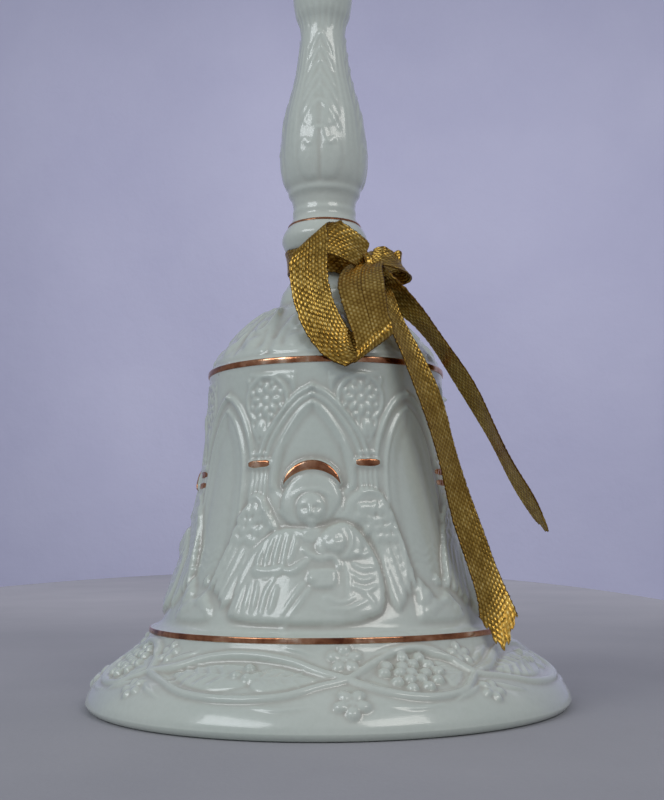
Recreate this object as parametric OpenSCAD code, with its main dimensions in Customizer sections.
// Hand bell in glazed porcelain. The shell and the handle are separate castings joined at the
// neck. Gilding is laid on the shell and the handle, a porcelain clapper hangs on brass wire
// inside, and a flat metal-mesh ribbon is tied round the neck in a bow.
// Millimetres, +Z up. The origin is the centre of the mouth, on the plane the bell rests on,
// and the front figure's bay faces -Y.

/* [Shell] */
// Diameter across the lip
mouth_d = 102; // [98:1:108]
// Thickness of the porcelain
wall = 3; // [2.6:0.1:3.4]
// Width of the flat foot ring under the lip
foot_w = 2.2; // [1.8:0.1:2.6]

/* [Gilding] */
// Height of the gilt band above the skirt
skirt_band_h = 1.1; // [0.8:0.1:1.4]
// Height of the gilt band at the shoulder
shoulder_band_h = 1.2; // [0.8:0.1:1.4]
// Thickness of the gilding as it is modelled
gilt_t = 0.3; // [0.2:0.05:0.4]
// Angle from the middle of a figure's bay to the columns beside it
column_angle = 23.5; // [20:0.5:26]

/* [Clapper] */
// Diameter of the porcelain clapper ball
ball_d = 14; // [11:0.5:15]
// Height of the ball's centre above the mouth
ball_z = 23; // [20:0.5:28]
// Diameter of the brass wire in the staple, the ring and the clapper's stem
wire_d = 1; // [0.8:0.1:1.1]
// Running gap between two wire loops that hang in each other
loop_gap = 0.1; // [0.05:0.05:0.2]

/* [Ribbon] */
// Width of the ribbon
ribbon_w = 8; // [7:0.5:9]
// Thickness of the ribbon
ribbon_t = 0.8; // [0.6:0.1:1]

/* [Hidden] */
$fn = 64;
eps = 0.01;

// Colours
porcelain = "#eef0e6";
gilt = "#b9793f";
plaster = "#dcd8cd";
brass = "#c9a54e";
mesh_gold = "#9c7a22";

// Heights that divide the shell
band_z = 15.6;
shoulder_z = 68.7;
neck_z = 92.5;
neck_r = 6.6;
neck_line_z = 101;

// A smooth curve through control points, with n steps between neighbours
function catmull(a, b, c, d, t) =
    0.5 * (2 * b + (c - a) * t + (2 * a - 5 * b + 4 * c - d) * t * t
        + (3 * b - a - 3 * c + d) * t * t * t);
function spline(p, n) = [
    for (i = [0 : len(p) - 2]) for (k = [0 : n - 1])
        catmull(p[max(i - 1, 0)], p[i], p[i + 1], p[min(i + 2, len(p) - 1)], k / n),
    p[len(p) - 1]];

// A curve of [radius, height] points moved towards the axis, square to itself
function heading(p, i) = p[min(i + 1, len(p) - 1)] - p[max(i - 1, 0)];
function inset(p, t) = [
    for (i = [0 : len(p) - 1])
        p[i] + t * [-heading(p, i)[1], heading(p, i)[0]] / norm(heading(p, i))];

// The shell's outline, from the foot ring to the neck, as [radius, height]
mouth_r = mouth_d / 2;
band_r = 37.6;
flare = mouth_r - band_r;
skirt_curve = spline([[mouth_r, 1.4], [mouth_r - 0.5, 3], [band_r + 0.84 * flare, 5.5],
    [band_r + 0.66 * flare, 7.7], [band_r + 0.42 * flare, 9.8], [band_r + 0.21 * flare, 11.8],
    [band_r + 0.06 * flare, 13.8], [band_r, band_z]], 3);
barrel_curve = spline([[35.4, 17.8], [34.4, 20.5], [32.4, 25.5], [30.4, 31], [28.9, 36.5],
    [27.7, 42], [26.6, 47.5], [25.9, 53], [25.3, 58.5], [24.9, 64], [24.8, shoulder_z]], 2);
crown_curve = spline([[24.6, 70.1], [23.2, 72.9], [20.9, 76.3], [17.9, 79.6], [14.2, 82.3],
    [11, 84.8], [8.6, 87.6], [7.1, 90.2], [neck_r, neck_z]], 2);
outer_curve = concat(skirt_curve, [[band_r - 0.1, band_z + skirt_band_h]], barrel_curve,
    crown_curve);

// The hollow, from the mouth up into the neck
hollow_source = concat([for (p = skirt_curve) if (p[1] > 3) p], barrel_curve, crown_curve);
hollow_shape = inset(hollow_source, wall);
hollow_curve = concat([for (i = [0 : len(hollow_shape) - 2]) hollow_shape[i]],
    [[neck_r - wall, neck_z]]);
foot_r = mouth_r - 1.2;

// The handle's outline, from the neck to the tip of the finial
handle_curve = spline([[neck_r, neck_z], [6.9, 94.4], [8.4, 96.2], [9.1, 98.2], [8.5, 100],
    [7.5, neck_line_z + 0.4], [6.6, 103.4], [6.7, 105.8], [7.4, 108.2], [8.7, 110.8],
    [9.3, 114.2], [9.2, 118.6], [8.5, 123.9], [7.3, 128.4], [6.1, 132.8], [5.3, 137.4],
    [4.8, 141.6], [4.9, 144.2], [5.8, 146.6], [6.3, 149.8], [6, 152.8], [4.6, 155.4],
    [2.2, 157.4], [0, 158]], 3);
handle_hollow_top = 144;

// The clapper's hanging gear, from the crown down
staple_w = 3.6;
staple_top_z = 88;
staple_pivot_z = 72;
plug_z = 83;
ring_r = 3;
eye_r = 2.4;
hang_step = 2 * ring_r - wire_d - loop_gap;
ring_pivot_z = staple_pivot_z - hang_step;
eye_z = ring_pivot_z + wire_d + loop_gap - eye_r;
stop_z = ball_z - ball_d / 2 - 1;

module turned(points) {
    rotate_extrude($fn = 96) polygon(points);
}

// Rings cut from the turned outline
skirt_band_section = [[band_r - 0.6, band_z], [band_r + gilt_t, band_z],
    [band_r + gilt_t - 0.1, band_z + skirt_band_h], [band_r - 0.6, band_z + skirt_band_h]];
shoulder_band_section = [[24.4, shoulder_z], [24.8 + gilt_t, shoulder_z],
    [24.8 + gilt_t, shoulder_z + shoulder_band_h], [24.4, shoulder_z + shoulder_band_h]];
neck_line_section = [[7, neck_line_z], [8.15, neck_line_z], [7.9, neck_line_z + 0.5],
    [7, neck_line_z + 0.5]];

module bell_shell() {
    color(porcelain) rotate_extrude($fn = 96) difference() {
        polygon(concat([[mouth_r - 1.2 - foot_w, 0], [foot_r, 0]], outer_curve,
            [for (i = [len(hollow_curve) - 1 : -1 : 0]) hollow_curve[i]]));
        polygon(skirt_band_section);
        polygon(shoulder_band_section);
    }
}

module handle() {
    hollow = concat([[neck_r - wall, neck_z]], [for (p = inset(handle_curve, wall))
        if (p[1] > neck_z + 1 && p[1] < handle_hollow_top) p]);
    color(porcelain) rotate_extrude($fn = 96) difference() {
        polygon(concat(handle_curve, [[0, handle_hollow_top + 1.5]],
            [for (i = [len(hollow) - 1 : -1 : 0]) hollow[i]]));
        polygon(neck_line_section);
    }
}

module skirt_gilt_band() {
    color(gilt) turned(skirt_band_section);
}

module shoulder_gilt_band() {
    color(gilt) turned(shoulder_band_section);
}

module neck_gilt_line() {
    color(gilt) turned(neck_line_section);
}

// A thin layer on the barrel between two heights, in which gilding lies
module barrel_skin(low, high) {
    inner = [for (p = barrel_curve) if (p[1] > low && p[1] < high) p];
    turned(concat(inner, [for (i = [len(inner) - 1 : -1 : 0]) inner[i] + [gilt_t, 0]]));
}

// A prism that stands out from the barrel in the direction of a bay
module towards(angle) {
    rotate([90, 0, angle]) translate([0, 0, 20]) linear_extrude(10) children();
}

halo_r = 5.5;
halo_z = 44.2;
module halo_gilding() {
    color(gilt) intersection() {
        barrel_skin(41, 52);
        for (angle = [0, 90, 180, 270]) towards(angle) difference() {
            translate([0, halo_z]) circle(halo_r);
            translate([0, halo_z - 3]) circle(halo_r + 1.1);
        }
    }
}

// One gilt bar across a capital
module capital_bar(height) {
    bar_w = 4.8;
    bar_h = 1.4;
    translate([-bar_w / 2, height - bar_h / 2]) square([bar_w, bar_h]);
}

module front_capital_gilding() {
    color(gilt) intersection() {
        barrel_skin(44, 52);
        for (bay = [0, 180]) for (side = [-1, 1])
            towards(bay + side * column_angle) capital_bar(49.2);
    }
}

module side_capital_gilding() {
    color(gilt) intersection() {
        barrel_skin(41, 52);
        for (bay = [90, 270]) for (side = [-1, 1]) for (height = [45.8, 48])
            towards(bay + side * column_angle) capital_bar(height);
    }
}

module staple_leg(side) {
    translate([side * staple_w / 2, 0, staple_pivot_z + staple_w / 2])
        cylinder(d = wire_d, h = staple_top_z - staple_pivot_z - staple_w / 2);
}

// Cement that fills the neck and holds the staple
module crown_plug() {
    filled = [for (p = hollow_curve) if (p[1] > plug_z) p];
    color(plaster) difference() {
        turned(concat([[0, filled[0][1]]], filled, [[0, filled[len(filled) - 1][1]]]));
        for (side = [-1, 1]) staple_leg(side);
    }
}

module hanger_staple() {
    color(brass) {
        for (side = [-1, 1]) staple_leg(side);
        translate([0, 0, staple_pivot_z + staple_w / 2]) rotate([-90, 0, 0])
            rotate_extrude(angle = 180) translate([staple_w / 2, 0]) circle(d = wire_d);
    }
}

module wire_ring(radius) {
    rotate_extrude() translate([radius, 0]) circle(d = wire_d);
}

module hanger_ring() {
    color(brass) translate([0, 0, staple_pivot_z + wire_d + loop_gap - ring_r])
        rotate([0, 90, 0]) wire_ring(ring_r);
}

module clapper_wire() {
    stem_top = eye_z - eye_r;
    color(brass) {
        translate([0, 0, eye_z]) rotate([90, 0, 0]) wire_ring(eye_r);
        translate([0, 0, stop_z]) cylinder(d = wire_d, h = stem_top - stop_z);
    }
}

module clapper_ball() {
    color(porcelain) difference() {
        translate([0, 0, ball_z]) sphere(d = ball_d);
        translate([0, 0, ball_z - ball_d]) cylinder(d = wire_d, h = 2 * ball_d);
    }
}

// The burr that keeps the ball on its wire
module clapper_wire_stop() {
    color(brass) difference() {
        translate([0, 0, stop_z - 0.3]) cylinder(d = 2.4 * wire_d, h = 1.2);
        translate([0, 0, stop_z]) cylinder(d = wire_d, h = 2);
    }
}

// A flat ribbon swept along points, each with the direction that its width lies in.
// Where it is folded over at a slant, the width runs along the fold.
function unit(v) = v / norm(v);
function square_to(a, t) = unit(a - (a * t) * t);
function along_fold(a, t) = a / max(0.74, norm(cross(t, a)));
section = [[0.5, 0], [0.38, 0.44], [0, 0.5], [-0.38, 0.44],
    [-0.5, 0], [-0.38, -0.44], [0, -0.5], [0.38, -0.44]];
function ribbon_ring(p, a, t) = let (n = unit(cross(t, a)))
    [for (s = section) p + s[0] * ribbon_w * a + s[1] * ribbon_t * n];
module ribbon(points, across, steps, folded = false) {
    path = spline(points, steps);
    width = spline(across, steps);
    last = len(path) - 1;
    sides = len(section);
    rings = [for (i = [0 : last]) let (t = unit(heading(path, i)))
        each ribbon_ring(path[i],
            folded ? along_fold(unit(width[i]), t) : square_to(width[i], t), t)];
    walls = [for (i = [0 : last - 1]) for (k = [0 : sides - 1])
        let (a = i * sides + k, b = i * sides + (k + 1) % sides)
            each [[a, a + sides, b], [b, a + sides, b + sides]]];
    ends = [[for (k = [0 : sides - 1]) k],
        [for (k = [sides - 1 : -1 : 0]) last * sides + k]];
    color(mesh_gold) polyhedron(rings, concat(walls, ends));
}

// Routes of the ribbon's four free stretches, all from the knot
large_loop_points = [[10, -9, 91], [9.6, -10.9, 90.4], [8.9, -14.1, 88.2], [9.1, -17.9, 84.6],
    [10, -21.1, 80.6], [11.1, -24, 76.6], [12, -26.3, 73.1], [12, -26.5, 70.9],
    [10.3, -25.3, 70.4], [7.4, -24.9, 70.7], [4.6, -24.7, 72.5], [2, -24.1, 76.2],
    [-0, -22.9, 81.3], [-1, -21.1, 87], [-1.1, -19, 92], [-0.9, -17.6, 94.5], [0.7, -15.4, 95.4],
    [3.6, -13.3, 95.4], [7, -11.2, 94], [9.6, -9.1, 92.4]];
large_loop_across = [[1, 0, 0], [1, 0, 0], [1, 0, 0.05], [0.99, 0.05, 0.15], [0.95, 0.12, 0.29],
    [0.86, 0.25, 0.45], [0.68, 0.37, 0.64], [0.68, 0.37, 0.64], [0.68, 0.37, 0.64],
    [0.4, 0.43, 0.81], [0.6, 0.38, 0.7], [0.85, 0.25, 0.46], [0.97, 0.1, 0.22],
    [0.97, 0.12, 0.22], [0.71, 0.38, 0.59], [0.62, 0.43, 0.66], [0.62, 0.43, 0.66],
    [0.41, 0.3, 0.86], [0.2, 0.2, 0.96], [0.1, 0.1, 0.99]];
small_loop_points = [[10.5, -8.8, 92.3], [13.2, -9.8, 92], [15.7, -9.2, 91.2], [16.9, -7.2, 90.7],
    [15.4, -5.3, 90.6], [12.4, -5, 90.9]];
small_loop_across = [[-0.45, 0.55, 0.7], [-0.45, 0.55, 0.7], [-0.45, 0.55, 0.7],
    [-0.45, 0.55, 0.7], [-0.45, 0.55, 0.7], [-0.45, 0.55, 0.7]];
upper_tail_points = [[11, -8.5, 89], [14, -12.5, 85.5], [17, -13, 82.3], [20.9, -12, 78.2],
    [25.2, -10.5, 72.5], [30.2, -8, 65], [34.2, -7, 57.6], [38.8, -6, 48.5], [43, -5, 41.2],
    [46.2, -5, 35.6]];
upper_tail_across = [[0.35, -0.7, 0.4], [0.35, -0.7, 0.4], [0.35, -0.7, 0.4], [0.33, -0.8, 0.3],
    [0.33, -0.85, 0.2], [0.33, -0.88, 0.15], [0.33, -0.9, 0.1], [0.3, -0.92, 0.08],
    [0.25, -0.95, 0.05], [0.2, -0.95, 0]];
lower_tail_points = [[10, -9, 88.5], [12.9, -15.5, 83.5], [15, -18.5, 78.5], [18.6, -20, 71],
    [22.7, -19.5, 61], [25.9, -18, 50], [28.6, -17.5, 40], [32, -18, 29.5], [35, -19.5, 20.5],
    [36.3, -22, 13]];
lower_tail_across = [[1, 0.3, 0], [1, 0.5, 0], [0.8, 0.7, 0.1], [0.65, 0.76, 0.2],
    [0.65, 0.76, 0.2], [0.65, 0.76, 0.2], [0.68, 0.72, 0.2], [0.75, 0.65, 0.25], [0.85, 0.5, 0.3],
    [0.95, 0.3, 0.3]];

module ribbon_neck_wrap() {
    color(mesh_gold) translate([0, 0, 90.3]) difference() {
        cylinder(r = 7.5 + ribbon_t, h = 4.4);
        translate([0, 0, -eps]) cylinder(r = 7.5, h = 5);
    }
}

module ribbon_knot() {
    color(mesh_gold) translate([9.2, -7, 90.8]) sphere(r = 3.4);
}

module ribbon_large_loop() {
    ribbon(large_loop_points, large_loop_across, 2, true);
}

module ribbon_small_loop() {
    ribbon(small_loop_points, small_loop_across, 2);
}

module ribbon_upper_tail() {
    ribbon(upper_tail_points, upper_tail_across, 1);
}

module ribbon_lower_tail() {
    ribbon(lower_tail_points, lower_tail_across, 1);
}

bell_shell();
handle();
skirt_gilt_band();
shoulder_gilt_band();
neck_gilt_line();
halo_gilding();
front_capital_gilding();
side_capital_gilding();
crown_plug();
hanger_staple();
hanger_ring();
clapper_wire();
clapper_ball();
clapper_wire_stop();
ribbon_neck_wrap();
ribbon_knot();
ribbon_large_loop();
ribbon_small_loop();
ribbon_upper_tail();
ribbon_lower_tail();
